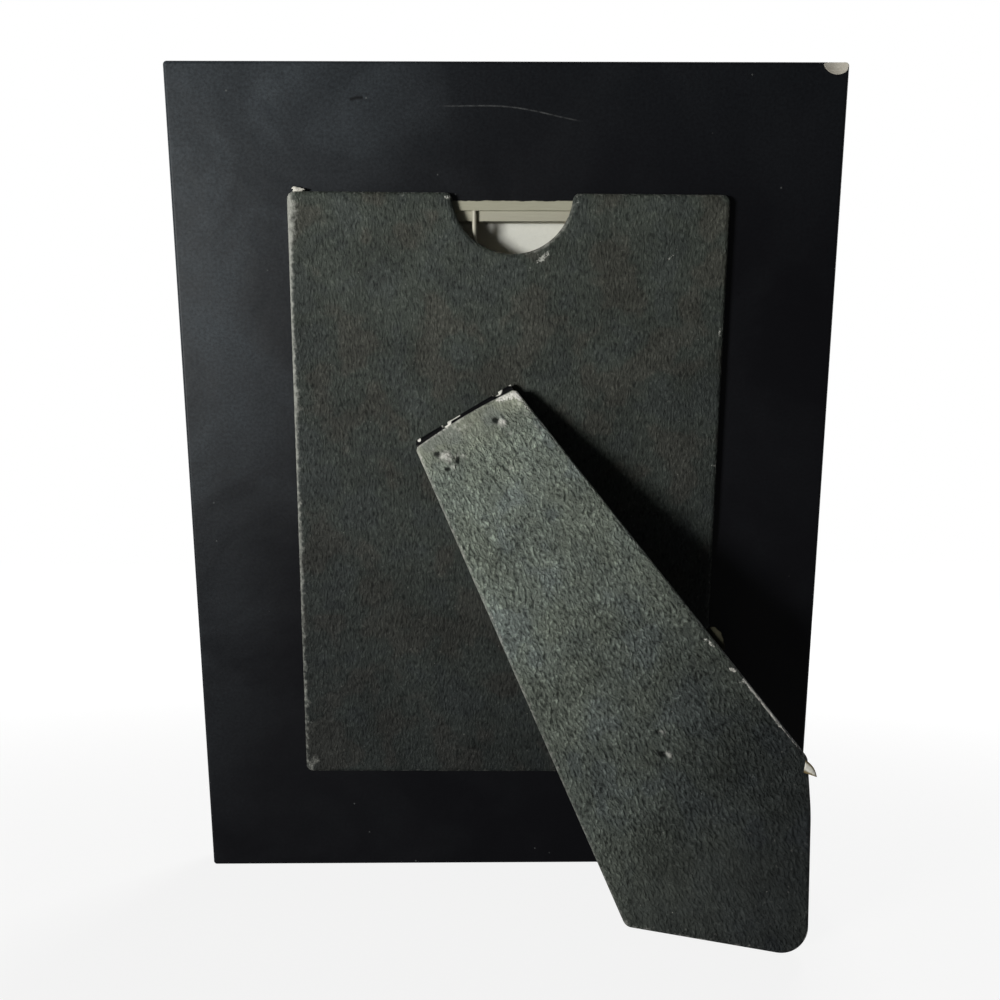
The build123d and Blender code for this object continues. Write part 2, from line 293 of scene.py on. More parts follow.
floor_mesh = bpy.data.meshes.new("floor")
floor_corners = [(FLOOR_REACH * x, FLOOR_REACH * y, 0) for x, y in ((-1, -1), (1, -1), (1, 1), (-1, 1))]
floor_mesh.from_pydata(floor_corners, [], [(0, 1, 2, 3)])
floor = bpy.data.objects.new("floor", floor_mesh)
scene.collection.objects.link(floor)
floor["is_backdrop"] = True
floor_finish, tree, shader = finish("pale floor", Roughness=0.9, Specular_IOR_Level=0.0)
spot = wire(tree, "TexCoord").outputs["Object"]
tooth = clouds(tree, spot, 0.004)
coat(tree, shader, Base_Color=blend(tree, tooth, (0.19, 0.19, 0.187, 1), (0.22, 0.22, 0.217, 1)))
glow = step(tree, vectors(tree, "LENGTH", spot), GLOW_NEAR, GLOW_FAR, GLOW_LEAST, 1.0)
strength = times(tree, glow, seen_share(tree, FLOOR_MIRRORED))
light = wire(tree, "Emission", {"Color": (1, 1, 1, 1), "Strength": strength})
both = wire(tree, "AddShader", {0: shader.outputs[0], 1: light.outputs[0]})
tree.links.new(both.outputs[0], tree.nodes["Material Output"].inputs[0])
floor_mesh.materials.append(floor_finish)

world = bpy.data.worlds.new("studio")
scene.world = world
world.use_nodes = True
tree = world.node_tree
tree.nodes.clear()
facing = wire(tree, "SeparateXYZ", {0: wire(tree, "TexCoord").outputs["Generated"]}).outputs[1]
backdrop = step(tree, facing, -0.35, 0.15, 1.0, 0.0)
dim = wire(tree, "Background", {"Color": (0.9, 0.95, 1.0, 1), "Strength": ROOM_GLOW})
white = wire(tree, "Background", {"Color": (1, 1, 1, 1), "Strength": 1.0})
sky = wire(tree, "MixShader", {0: seen_share(tree, backdrop), 1: dim.outputs[0], 2: white.outputs[0]})
tree.links.new(sky.outputs[0], wire(tree, "OutputWorld").inputs[0])
print("floor and background ready")

# %% [markdown]
# ## Light
#
# One small soft window light stands low on the left. Its rays rake across the back, which draws the grain
# and throws the leg's long shadow over the panel. The leg's foot is dark partly because its paper has faded
# less there and partly because the light's falloff is painted into the paper as shade. A second soft light
# stands on the far side, so that the front, the sides and the floor are lit as well.

# %% Two soft lights
def soft_light(name, place, aim, width, height, power, spread, tint):
    """Rectangular light at a place, turned to face its aim."""
    lamp = bpy.data.lights.new(name, "AREA")
    lamp.shape, lamp.size, lamp.size_y = "RECTANGLE", width, height
    lamp.energy, lamp.spread, lamp.color = power, np.radians(spread), tint
    made = bpy.data.objects.new(name, lamp)
    scene.collection.objects.link(made)
    made.location = place
    made.rotation_mode = "QUATERNION"
    made.rotation_quaternion = (Vector(aim) - Vector(place)).to_track_quat("-Z", "Y")


soft_light(
    "window", place=(0.42, 0.50, 0.058), aim=behind(-35.0, 172.0, 0.0),
    width=0.16, height=0.10, power=1.85, spread=130.0, tint=(1.0, 0.99, 0.95))
soft_light(
    "far_window", place=(-0.45, -1.05, 0.62), aim=(0.0, 0.0, 0.10),
    width=0.6, height=0.6, power=4.8, spread=150.0, tint=(1.0, 1.0, 1.0))

# %% [markdown]
# ## Shared effects
#
# Three effects come back on several finishes. Leather grain is the embossing of the paper: short wrinkles,
# longer than they are wide. Handling haze is the cloudy film of touch and dust on a dark surface. Rubbing
# breaks a soft mask into flecks, because paint and paper wear off in spots and not in a smooth fade.

# %% Leather grain
grain, takes, gives = effect(
    "Leather grain", {"Place": "Vector", "Width": "Float", "Length": "Float"},
    {"Height": "Float", "Crest": "Float", "Hollow": "Float"})
size = wire(grain, "CombineXYZ", {0: takes["Width"], 1: takes["Length"], 2: 1.0}).outputs[0]
flat = vectors(grain, "DIVIDE", takes["Place"], size)
drift = wire(grain, "TexNoise", {"Vector": flat, "Scale": 0.30, "Detail": 1.0}).outputs["Color"]
flat = vectors(grain, "ADD", flat, vectors(grain, "MULTIPLY", drift, (1.6, 0.8, 0.0)))
wrinkle = clouds(grain, flat, 1.0, 4.0, 0.65)
pebbles = {"Vector": flat, "Scale": 1.1, "Smoothness": 0.5}
pebble = wire(grain, "TexVoronoi", pebbles, feature="SMOOTH_F1").outputs[0]
height = plus(grain, pebble, -0.30, times(grain, wrinkle, 0.9))
grain.links.new(height, gives["Height"])
grain.links.new(step(grain, height, 0.355, 0.455), gives["Crest"])
grain.links.new(step(grain, height, 0.14, 0.25, 1.0, 0.0), gives["Hollow"])
print("grain nodes:", len(grain.nodes))

# %% Handling haze and rubbing
haze, takes, gives = effect("Handling haze", {"Place": "Vector"}, {"Haze": "Float", "Specks": "Float"})
soft = step(haze, clouds(haze, takes["Place"], 42.0, 4.0, 0.55, 0.8), 0.40, 0.66)
fine = step(haze, clouds(haze, takes["Place"], 11.0, 3.0, 0.6), 0.35, 0.75)
haze.links.new(times(haze, soft, plus(haze, fine, 0.35, 0.65)), gives["Haze"])
dots = wire(haze, "TexVoronoi", {"Vector": takes["Place"], "Scale": 0.22}).outputs
lucky = wire(haze, "SeparateColor", {0: dots["Color"]}).outputs[0]
dot = step(haze, dots["Distance"], 0.03, 0.07, 1.0, 0.0)
haze.links.new(times(haze, dot, step(haze, lucky, 0.80, 0.95)), gives["Specks"])

rub, takes, gives = effect(
    "Rubbing", {"Place": "Vector", "Mask": "Float", "Fleck": "Float", "Soft": "Float"}, {"Worn": "Float"})
flecks = {"Scale": sums(rub, "DIVIDE", 1.0, takes["Fleck"]), "Detail": 3.0, "Roughness": 0.6}
spots = wire(rub, "TexNoise", {"Vector": takes["Place"], **flecks}).outputs[0]
worn = sums(rub, "ADD", takes["Mask"], about_zero(rub, spots, 1.6))
low, high = [sums(rub, side, 0.70, takes["Soft"]) for side in ("SUBTRACT", "ADD")]
rub.links.new(step(rub, worn, low, high), gives["Worn"])
print("effects:", [g.name for g in bpy.data.node_groups])

# %% [markdown]
# ## Black lacquer
#
# The rails are sprayed black, and the spray stopped at the rebate: a narrow strip round the opening and the
# walls inside it are bare pale wood. One corner has lost a flake of lacquer. A cloudy film of dust lies on
# the black, and it is painted lighter and bluer towards the top left and the top as a painted reflection of
# the window. The marks are placed by measures taken from behind, so the shader first turns its coordinates
# back to that drawing board. The masks of the scratch and the dark mark would run on through the wood, so
# they are kept to the back.

# %% A scratch by two points
def stroke(tree, place, start, end, bow, width):
    """Mask of a scratch between two points, bowed sideways.

    The share of the way along the line goes from 0 to 1, the scratch stands off the line by four times
    bow times share times one less share, and the mask fades at width from there and near both ends.
    """
    run = Vector((end[0] - start[0], end[1] - start[1], 0))
    square = Vector((-run.y, run.x, 0)).normalized()
    away = vectors(tree, "SUBTRACT", place, (*start, 0))
    share = step(tree, vectors(tree, "DOT_PRODUCT", away, run / run.length_squared), 0.0, 1.0)
    aside = vectors(tree, "DOT_PRODUCT", away, square)
    arch = times(tree, share, sums(tree, "SUBTRACT", 1.0, share), 4.0 * bow)
    off = sums(tree, "ABSOLUTE", sums(tree, "SUBTRACT", aside, arch))
    ends = times(tree, step(tree, share, 0.0, 0.06), step(tree, share, 0.94, 1.0, 1.0, 0.0))
    return times(tree, step(tree, off, 0.0, width, 1.0, 0.0), ends)


print("strokes ready")

# %% Lacquer of the rails
SCRATCH = {"start": (-20.0, 217.8), "end": (21.7, 213.6), "bow": 1.6, "width": 0.30}
DARK_MARK = {"start": (-41.3, 219.0), "end": (-37.0, 219.6), "bow": 0.2, "width": 0.75}
BARE_HALF_WIDTH, BARE_HALF_HEIGHT, BARE_MIDDLE = 54.1, 79.5, 114.3
CHIP_BALL, CHIP_RADIUS, CHIP_SOFT = (85.7, 229.5, 7.30), 8.35, 0.03

lacquer, tree, shader = finish("black lacquer", Specular_IOR_Level=0.12)
place = in_mm(tree, BACK, -BACK @ FOOT)
right, up, out = wire(tree, "SeparateXYZ", {0: place}).outputs
film = use(tree, haze, Place=place)
# Painted reflection: the film is made lighter towards the top left and the top, standing in for the window's
# sheen on the lacquer. The cloudy noise on it and its light bluish tone are part dust, part that painted
# reflection.
sheen_toward_top_left = plus(tree, up, 0.0026, times(tree, right, -0.0062))
sheen_toward_top_left = step(tree, sheen_toward_top_left, 0.48, 1.27, 0.05, 1.0)
dust_and_sheen = times(tree, sheen_toward_top_left, plus(tree, film["Haze"], 0.58, 0.42))
dust_and_sheen = sums(tree, "ADD", dust_and_sheen, step(tree, up, 170.0, 235.0, 0.0, 0.085))
dust = clouds(tree, place, 0.8, 3.0, 0.7)
dust_and_sheen = times(tree, dust_and_sheen, step(tree, dust, 0.2, 0.8, 0.55, 1.45))
paint = blend(tree, dust_and_sheen, (0.0030, 0.0028, 0.0042, 1), (0.064, 0.077, 0.089, 1))
paint = blend(tree, times(tree, film["Specks"], 0.5), paint, (0.16, 0.17, 0.17, 1))
back_only = step(tree, out, -1.5, -0.8)
hairs = step(tree, clouds(tree, place, 2.5, 4.0, 0.7), 0.25, 0.70)
scratch = times(tree, stroke(tree, place, **SCRATCH), hairs, back_only, 0.30)
paint = blend(tree, scratch, paint, (0.26, 0.27, 0.27, 1))
mark = times(tree, stroke(tree, place, **DARK_MARK), back_only, 0.9)
paint = blend(tree, mark, paint, (0.004, 0.004, 0.005, 1))
over_x = sums(tree, "SUBTRACT", sums(tree, "ABSOLUTE", right), BARE_HALF_WIDTH)
from_middle = sums(tree, "ABSOLUTE", sums(tree, "SUBTRACT", up, BARE_MIDDLE))
over_y = sums(tree, "SUBTRACT", from_middle, BARE_HALF_HEIGHT)
ragged = about_zero(tree, clouds(tree, place, 3.0, 2.0), 0.7)
over = sums(tree, "ADD", sums(tree, "MAXIMUM", over_x, over_y), ragged)
bare = times(tree, step(tree, over, -0.12, 0.12, 1.0, 0.0), step(tree, out, -14.7, -14.6))
fibre = clouds(tree, stretch(tree, place, (0.12, 1.6, 1.6)), 1.0, 4.0, 0.6)
wood = blend(tree, fibre, (0.36, 0.345, 0.26, 1), (0.50, 0.50, 0.40, 1))
paint = blend(tree, bare, paint, wood)
ball = vectors(tree, "DISTANCE", place, CHIP_BALL)
chip = step(tree, ball, CHIP_RADIUS - CHIP_SOFT, CHIP_RADIUS + CHIP_SOFT, 1.0, 0.0)
flake = blend(tree, clouds(tree, place, 1.6, 3.0), (0.50, 0.45, 0.38, 1), (0.80, 0.78, 0.70, 1))
paint = blend(tree, chip, paint, flake)
raw = sums(tree, "MAXIMUM", bare, chip)
gloss = sums(tree, "MAXIMUM", plus(tree, film["Haze"], 0.14, 0.40), times(tree, raw, 0.85))
relief = plus(tree, fibre, times(tree, raw, 0.5), times(tree, clouds(tree, place, 9.0), 0.5))
coat(tree, shader, relief, 0.0003, Base_Color=paint, Roughness=gloss)
print("lacquer nodes:", len(tree.nodes))

# %% [markdown]
# ## Leather-grain paper
#
# Panel and leg are board wrapped in embossed dark paper. The panel's paper is nearly black, the leg's is
# faded to a greenish grey, lighter towards its top: partly faded paper, partly painted shade of the light
# falling off towards the foot. Each wrap carries its own coordinates: the flat place on the paper in
# millimetres, how near the edge is, where it is rubbed, where it is faded or darkened by that painted
# falloff, and where it is pressed flat. A rub value below zero makes a pit, darkened with painted shade.

# %% Papers of the panel and the leg
PIT_SHADE_TONE = (0.006, 0.007, 0.007, 1)
PATCH_TINT, BLOTCH_TINT = (1.45, 1.45, 1.45, 1), (1.30, 1.30, 1.30, 1)
PRESSED_TINT = (1.07, 1.00, 0.93, 1)


def painted(tree, layer, output="Fac"):
    """Value that a mesh carries for each of its points."""
    return wire(tree, "Attribute", attribute_name=layer).outputs[output]


def grain_paper(name, fresh, faded_tone, warm, cool, crest_highlight, hollow_shade, worn, width, length, relief, shine):
    """Embossed paper, lighter on its crests and darker in its hollows, less so where it is pressed flat.

    Broad patches and small blotches lift the tone, and slow noise tints it warm and cool. The lighter
    crests are a painted highlight and the darker hollows are painted shade. Worn flecks show at rubbed
    places and edges, the left edges also carry a painted highlight, and pits get painted shade and are
    dull. The faded tone is partly fading and partly painted shade of the light's falloff.
    """
    made, tree, shader = finish(name, Specular_IOR_Level=shine)
    place = painted(tree, "paper", "Vector")
    edge, rubbed, faded, pressed = [painted(tree, layer) for layer in ("edge", "rub", "fade", "press")]
    emboss = use(tree, grain, Place=place, Width=width, Length=length)
    rough = sums(tree, "SUBTRACT", 1.0, times(tree, pressed, 0.7))
    patch = step(tree, clouds(tree, place, 17.0, 4.0, 0.6), 0.32, 0.68)
    blotch = step(tree, clouds(tree, place, 3.0, 3.0, 0.6), 0.35, 0.65)
    hue = clouds(tree, place, 12.0, 2.0)
    # Painted shade as well as fading: the lighter tone goes where the fade value is high, and that value
    # also carries the light's falloff towards the foot and the lower right.
    colour = blend(tree, faded, fresh, faded_tone)
    colour = tinge(tree, patch, colour, PATCH_TINT)
    colour = tinge(tree, blotch, colour, BLOTCH_TINT)
    colour = tinge(tree, step(tree, hue, 0.50, 0.60), colour, warm)
    colour = tinge(tree, step(tree, hue, 0.38, 0.46, 1.0, 0.0), colour, cool)
    colour = tinge(tree, times(tree, pressed, faded), colour, PRESSED_TINT)
    # Painted shade in the grain's hollows and a painted highlight on its crests, standing in for the light
    # on the relief.
    colour = tinge(tree, times(tree, emboss["Hollow"], rough), colour, hollow_shade)
    colour = tinge(tree, times(tree, emboss["Crest"], rough), colour, crest_highlight)
    dots = use(tree, haze, Place=stretch(tree, place, (2.2, 2.2, 2.2)))["Specks"]
    edges = use(tree, rub, Place=place, Mask=times(tree, edge, 0.72), Fleck=1.2, Soft=0.52)["Worn"]
    scuffs = use(tree, rub, Place=place, Mask=rubbed, Fleck=0.45, Soft=0.20)["Worn"]
    # The edge mask carries wear and, on the left edges, a painted highlight.
    bare = sums(tree, "MAXIMUM", times(tree, edges, 0.8), scuffs)
    uneven = about_zero(tree, clouds(tree, place, 0.9, 3.0), 1.2)
    # Painted shade: where the rub value goes below zero, the dents are darkened to near black, standing in
    # for the shade of a depth the thin paper can't take.
    pit_shade = step(tree, sums(tree, "ADD", rubbed, uneven), -1.7, -0.25, 0.93, 0.0)
    colour = blend(tree, pit_shade, colour, PIT_SHADE_TONE)
    colour = blend(tree, times(tree, dots, 0.5), colour, worn)
    colour = blend(tree, bare, colour, worn)
    gloss = sums(tree, "MAXIMUM", plus(tree, emboss["Hollow"], 0.25, 0.46), pit_shade)
    height = times(tree, emboss["Height"], rough)
    coat(tree, shader, height, relief, Base_Color=colour, Roughness=gloss)
    return made


panel_paper = grain_paper(
    "panel paper", fresh=(0.0172, 0.0203, 0.0196, 1), faded_tone=(0.0385, 0.0450, 0.0392, 1),
    warm=(1.10, 0.98, 0.96, 1), cool=(0.99, 0.99, 1.05, 1), crest_highlight=(1.60, 1.60, 1.57, 1),
    hollow_shade=(0.55, 0.55, 0.56, 1), worn=(0.52, 0.53, 0.49, 1),
    width=0.70, length=1.5, relief=0.00050, shine=0.12)
leg_paper = grain_paper(
    "leg paper", fresh=(0.0220, 0.0252, 0.0255, 1), faded_tone=(0.188, 0.217, 0.191, 1),
    warm=(1.01, 1.00, 0.97, 1), cool=(0.97, 0.98, 1.05, 1), crest_highlight=(1.9, 1.9, 1.88, 1),
    hollow_shade=(0.42, 0.42, 0.43, 1), worn=(0.93, 0.92, 0.87, 1),
    width=0.74, length=1.25, relief=0.0028, shine=0.15)
print("papers:", panel_paper.name, leg_paper.name)

# %% [markdown]
# ## Outlines made of arcs and runs
#
# A wrapped board is an outline with a rounded edge. Any outline here is a chain of arcs joined by straight
# runs, so it is enough to list the arcs. Every point keeps its outward direction, which lets the same
# outline be drawn again a little further in or out, exactly parallel, for the roll of the paper's edge.

# %% Arcs and sides
ARC_POINTS = 120


def belt_arcs(circles):
    """Arcs of a belt pulled round (x, y, radius) circles, anticlockwise.

    On each, the outward direction turns from the run that arrives to the one that leaves.
    """
    x, y, radius = np.array(circles, float).T
    run_x, run_y = np.roll(x, -1) - x, np.roll(y, -1) - y
    pull = (radius - np.roll(radius, -1)) / np.hypot(run_x, run_y)
    leave = np.arctan2(run_y, run_x) - np.pi / 2 + np.arcsin(pull)
    arrive = np.roll(leave, 1)
    return np.stack([x, y, radius, arrive, arrive + np.mod(leave - arrive, 2 * np.pi)], 1)


def side(arcs, first, last, count):
    """Even points and their outward directions, between the middles of two corners' arcs."""
    order = np.arange(first, last + 1 if last > first else last + 1 + len(arcs)) % len(arcs)
    chain = arcs[order].copy()
    chain[0, 3] = arcs[first, 3:].mean()
    chain[-1, 4] = arcs[last, 3:].mean()
    turn = chain[:, 3:4] + (chain[:, 4:5] - chain[:, 3:4]) * np.linspace(0, 1, ARC_POINTS)
    facing = np.stack([np.cos(turn), np.sin(turn)], -1)
    place = (chain[:, None, :2] + chain[:, 2, None, None] * facing).reshape(-1, 2)
    facing = facing.reshape(-1, 2)
    walked = np.append(0.0, np.cumsum(np.hypot(*np.diff(place, axis=0).T)))
    even = np.linspace(0, walked[-1], count)
    place, facing = [
        np.stack([np.interp(even, walked, values[:, k]) for k in (0, 1)], 1)
        for values in (place, facing)
    ]
    return place, facing / np.linalg.norm(facing, axis=1, keepdims=True)


def patch_inside(bottom, right, top, left):
    """Grid stretched between four sides: the two ruled surfaces added, less the one through the corners."""
    s = np.linspace(0, 1, len(bottom))[None, :, None]
    t = np.linspace(0, 1, len(left))[:, None, None]
    ruled = (1 - t) * bottom + t * top + (1 - s) * left[:, None] + s * right[:, None]
    corners = (1 - t) * ((1 - s) * bottom[0] + s * bottom[-1]) + t * ((1 - s) * top[0] + s * top[-1])
    return ruled - corners


print("outline tools ready")

# %% [markdown]
# The wrap itself is one sheet: a patch for the face, rings that roll over the edge, and rings down the wall.
# Round the edge the paper is longer than it looks from above, so its flat place runs on past the outline:
# a quarter circle is longer than its radius by a little over half of that radius.

# %% Wraps and meshes
QUARTER_EXTRA = 0.57
ROLL_STEPS = 6


def grid_faces(rows, columns):
    """Quads of a grid of rows by columns."""
    spot = np.arange(rows * columns).reshape(rows, columns)
    return np.stack([spot[:-1, :-1], spot[:-1, 1:], spot[1:, 1:], spot[1:, :-1]], -1).reshape(-1, 4)


def wrap_sheet(arcs, corners, across, along, level, drop, roll):
    """Paper over a board, rolled over its edge on a quarter circle and taken down its wall.

    Gives place, height, flat place on the paper, distance from the edge, and faces.
    """
    sides = [side(arcs, corners[k], corners[(k + 1) % 4], (across, along)[k % 2]) for k in range(4)]
    inner = [place - roll * facing for place, facing in sides]
    face = patch_inside(inner[0], inner[1], inner[2][::-1], inner[3][::-1])
    rim = np.concatenate([place[:-1] for place, _ in sides])
    facing = np.concatenate([f[:-1] for _, f in sides])
    turn = np.linspace(0, np.pi / 2, ROLL_STEPS)[1:]
    reach = np.concatenate([roll * np.sin(turn) - roll, np.zeros(2)])
    fall = np.concatenate([roll * (1 - np.cos(turn)), [(roll + drop) / 2, drop]])
    wall = np.array([(drop - roll) / 2, drop - roll])
    unrolled = np.concatenate([roll * turn - roll, wall + QUARTER_EXTRA * roll])
    rings = rim + reach[:, None, None] * facing
    place = np.concatenate([face.reshape(-1, 2), rings.reshape(-1, 2)])
    paper = np.concatenate([face.reshape(-1, 2), (rim + unrolled[:, None, None] * facing).reshape(-1, 2)])
    height = level - np.concatenate([np.zeros(face[..., 0].size), np.repeat(fall, len(rim))])
    gap = np.min(np.hypot(*(face.reshape(-1, 1, 2) - rim[None, ::2]).astype(np.float32).T), axis=0)
    gap = np.concatenate([gap, np.repeat(-reach, len(rim))])
    spot = np.arange(along * across).reshape(along, across)
    border = np.concatenate([spot[0, :-1], spot[:-1, -1], spot[-1, :0:-1], spot[:0:-1, 0]])
    loops = np.vstack([border, along * across + np.arange(rings[..., 0].size).reshape(len(reach), -1)])
    after = np.roll(loops, -1, axis=1)
    walls = np.stack([loops[:-1], loops[1:], after[1:], after[:-1]], -1).reshape(-1, 4)
    return place, height, paper, gap, np.vstack([grid_faces(along, across), walls])


def lay_mesh(name, points, faces, body, material, **layers):
    """Puts points in metres and faces into a smooth piece that rides on a body.

    Each layer is a value or a vector for each point.
    """
    mesh = bpy.data.meshes.new(name)
    mesh.from_pydata(points.tolist(), [], faces.tolist())
    mesh.polygons.foreach_set("use_smooth", np.ones(len(mesh.polygons), bool))
    for layer, values in layers.items():
        kind, field = ("FLOAT_VECTOR", "vector") if values.ndim == 2 else ("FLOAT", "value")
        mesh.attributes.new(layer, kind, "POINT").data.foreach_set(field, values.astype(np.float32).ravel())
    mesh.materials.append(material)
    piece = bpy.data.objects.new(name, mesh)
    scene.collection.objects.link(piece)
    print(name, "points", len(points), "faces", len(faces))
    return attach(piece, body)


def marks(place, strokes):
    """Sum of soft strokes (x0, y0, x1, y1, width, strength).

    Each fades as a bell curve of the distance from its line.
    """
    total = np.zeros(len(place))
    for x0, y0, x1, y1, width, strength in strokes:
        run = np.array([x1 - x0, y1 - y0]) + 1e-9
        share = np.clip(((place - (x0, y0)) @ run) / (run @ run), 0, 1)
        off = np.linalg.norm(place - (x0, y0) - share[:, None] * run, axis=1)
        total += strength * np.exp(-((off / width) ** 2))
    return total


def thicken(piece, thickness):
    """Gives a sheet its thickness, on the inside."""
    shell = piece.modifiers.new("paper thickness", "SOLIDIFY")
    shell.thickness, shell.offset = thickness / MM, -1.0


print("wrap tools ready")

# %% [markdown]
# ## The panel's wrap
#
# The lift-out panel is a rectangle with rounded corners, set a touch askew, with a round thumb notch in its
# top edge. The wrap follows that outline. The board is never quite flat, so the face sinks by up to two
# tenths of a millimetre. The paper is rubbed at its corners and the notch, and its left edge is paler, from
# wear and from a painted highlight where the edge faces the light.

# %% Panel wrap
WRAP_THICKNESS, WRAP_DROP = 0.28, 2.7
ASKEW = np.radians(-0.4)
PANEL = np.array([0.0, 113.6])
half_w, half_h, corner, cusp = 56.4, 80.1, 2.0, 1.5
turned = np.array([[np.cos(ASKEW), -np.sin(ASKEW)], [np.sin(ASKEW), np.cos(ASKEW)]])
notch = (np.array([1.5, 196.2]) - PANEL) @ turned
notch_radius = 16.1
cusp_y = half_h + corner - cusp
cusp_x = np.sqrt((notch_radius + cusp) ** 2 - (notch[1] - cusp_y) ** 2)
lean_in = np.arcsin((notch[1] - cusp_y) / (notch_radius + cusp))
quarter = np.pi / 2
panel_arcs = np.array([
    (-half_w, -half_h, corner, 2 * quarter, 3 * quarter),
    (half_w, -half_h, corner, 3 * quarter, 4 * quarter),
    (half_w, half_h, corner, 0.0, quarter),
    (notch[0] + cusp_x, cusp_y, cusp, quarter, 2 * quarter - lean_in),
    (notch[0], notch[1], -notch_radius, 2 * quarter - lean_in, lean_in),
    (notch[0] - cusp_x, cusp_y, cusp, lean_in, quarter),
    (-half_w, half_h, corner, quarter, 2 * quarter),
])
place, height, paper, gap, faces = wrap_sheet(
    panel_arcs, (0, 1, 2, 6), across=150, along=190, level=3.0, drop=WRAP_DROP, roll=1.4)
from_left = place[:, 0] + half_w + corner
place, paper = place @ turned.T + PANEL, paper @ turned.T + PANEL
x, y = place.T
sag = 0.05 * (2 + np.sin(x / 17 + 1.0) * np.sin(y / 23) + np.sin(y / 41 + x / 60))
height = height - sag * np.clip(gap / 6, 0, 1)
print("panel outline", len(panel_arcs), "arcs, deepest sag", sag.max())

# %% Wear, fading and painted light of the panel's paper
right, up = paper.T
panel_rub = marks(paper, [
    (10.8, 180.2, 9.2, 178.8, 0.95, 0.72), (9.4, 179.0, 5.4, 175.6, 0.60, 0.50),
    (44.8, 181.2, 42.7, 178.4, 0.6, 0.6), (57.4, 160.5, 57.4, 158.8, 0.6, 0.7),
    (55.8, 123.6, 57.8, 123.2, 0.5, 0.7), (-16.2, 194.6, -14.9, 194.4, 0.8, 0.75),
    (18.4, 194.8, 18.6, 192.5, 0.5, 0.6), (-57.5, 195.0, -57.7, 188.0, 0.9, 0.45),
])
# The panel's left edge is paler from wear and from a painted highlight where its rolled edge faces the
# light, more so higher up.
left_band_width = 1.30 + 0.9 * np.clip((up - 178) / 12, 0, 1) + 0.2 * np.sin(up / 7)
left_wear_and_highlight = np.clip(1.50 - (190 - up) / 190, 0.72, 1.50)
rim_tone = 0.45 + 0.5 * marks(paper, [(17.8, 188.0, 9.0, 180.8, 4.0, 1.0)])
left_edge_wear_and_highlight = left_wear_and_highlight * np.exp(-((from_left / left_band_width) ** 2))
panel_edge = np.maximum(left_edge_wear_and_highlight, rim_tone * np.exp(-((gap / 0.9) ** 2)))
panel_edge = np.maximum(panel_edge, marks(paper, [(-58.0, 32.4, -56.6, 35.4, 1.5, 0.85)]))
# The panel's fade rises towards the top and is held back at both sides: part fading, part painted shade of
# the light falling off.
aside = np.clip((np.abs(right) - 30) / 20, 0, 1) * np.clip((180 - up) / 30, 0, 1)
panel_fade = np.clip((up - 40) / 150 - 0.2 * aside, 0.0, 1.0)
panel_wrap = lay_mesh(
    "panel_wrap", behind(*place.T, height), faces, "back_panel", panel_paper,
    paper=np.column_stack([paper, height]), edge=panel_edge, rub=panel_rub, fade=panel_fade)
thicken(panel_wrap, WRAP_THICKNESS)
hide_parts("panel_cover")

# %% [markdown]
# ## The leg's wrap
#
# The leg is a board that widens downwards to a heel and an elbow and ends in a rounded toe. The paper over
# it tells what lies beneath: the ends of two rivets press through near the top, one ringed by the dents of
# its setting tool, and the two turned ends of the stay's staple show as low bumps further down.

# %% Leg wrap
leg_skin, leg_roll, deepest_dent = 0.3, 1.1, 0.24
corners = [
    (1.0, -14.3, 1.2), (129.8, -24.2, 2.2), (146.2905, 6.2, 6.5), (95.6277, -29.4102, 63.8275),
    (115.9, 29.0, 2.7), (1.0, 14.3, 1.2), (145.5021, 0.0, 146.3021),
]
leg_arcs = belt_arcs([(x, y, r + leg_skin) for x, y, r in corners])
place, height, paper, gap, faces = wrap_sheet(
    leg_arcs, (1, 2, 5, 0), across=108, along=340, level=4.7, drop=WRAP_DROP, roll=leg_roll)
bumps = marks(place, [
    (6.0, -9.4, 6.6, -8.9, 1.35, 1.1), (9.8, -8.9, 9.8, -8.7, 0.8, 0.40),
    (7.6, -5.8, 8.4, -5.4, 0.9, 0.32), (2.4, -11.6, 2.8, -11.2, 0.8, 0.28),
    (5.6, 8.0, 6.1, 8.4, 0.95, 0.85), (9.3, 9.0, 9.6, 9.0, 0.8, 0.30),
    (94.8, 4.6, 95.1, 4.7, 0.8, 0.60), (100.2, 3.1, 100.6, 3.2, 0.9, 0.75),
])
dents = [
    (4.2, -11.4, 4.5, -10.9, 0.90, -1.9), (8.2, -6.9, 8.8, -7.3, 0.75, -1.9),
    (9.3, -10.9, 9.4, -10.5, 0.75, -1.8), (2.4, -7.1, 2.9, -5.9, 1.1, -0.70),
    (4.2, 6.7, 4.9, 7.2, 0.85, -2.0), (9.7, 7.7, 9.8, 8.0, 0.60, -1.3),
    (91.3, 2.4, 91.5, 2.7, 0.60, -1.2), (94.2, 3.2, 94.4, 3.6, 0.75, -1.6),
    (99.3, 1.5, 99.7, 2.1, 0.95, -1.8),
]
x, y = place.T
sag = 0.03 * (2 + np.sin(x / 13) * np.sin(y / 9 + 0.7) + np.sin(x / 31 + 2))
relief = (bumps - sag + 0.5 * marks(place, dents)) * np.clip(gap / 2.5, 0, 1)
height = height + np.where(gap > leg_roll, np.maximum(relief, -deepest_dent), relief)
print("leg outline", len(leg_arcs), "arcs, highest bump", bumps.max())

